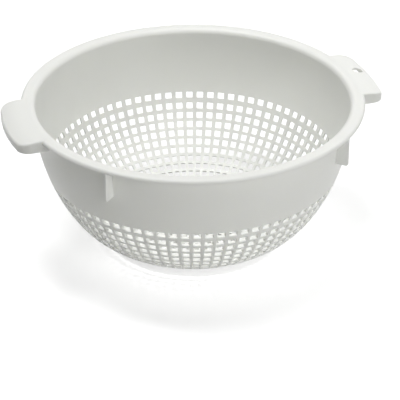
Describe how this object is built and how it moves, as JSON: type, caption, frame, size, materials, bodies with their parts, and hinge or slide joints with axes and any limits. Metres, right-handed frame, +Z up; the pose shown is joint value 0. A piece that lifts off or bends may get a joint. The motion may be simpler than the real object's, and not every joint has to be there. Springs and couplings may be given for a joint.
{
  "type": "colander",
  "caption": "Round moulded plastic colander: perforated bowl on a low foot ring, flat rim, tab handles, a hanging hole in one of them, and thin stacking lugs under the rim.",
  "frame": {"origin": "on the floor under the centre of the bowl, in the plane of the foot ring's lower face", "axes": "+Z up through the bowl's centre; +X towards the handle with the hanging hole; the other handle lies on -X"},
  "size_m": [0.312, 0.28, 0.1253],
  "materials": {
    "plastic": "off-white injection-moulded polypropylene with a soft satin surface"
  },
  "bodies": {
    "root": {"rim": "plastic", "plain_wall": "plastic", "sieve_wall": "plastic", "sieve_base": "plastic", "foot_ring": "plastic", "left_handle": "plastic", "right_handle": "plastic", "lug_front_right": "plastic", "lug_back_right": "plastic", "lug_back_left": "plastic", "lug_front_left": "plastic"}
  },
  "joints": []
}
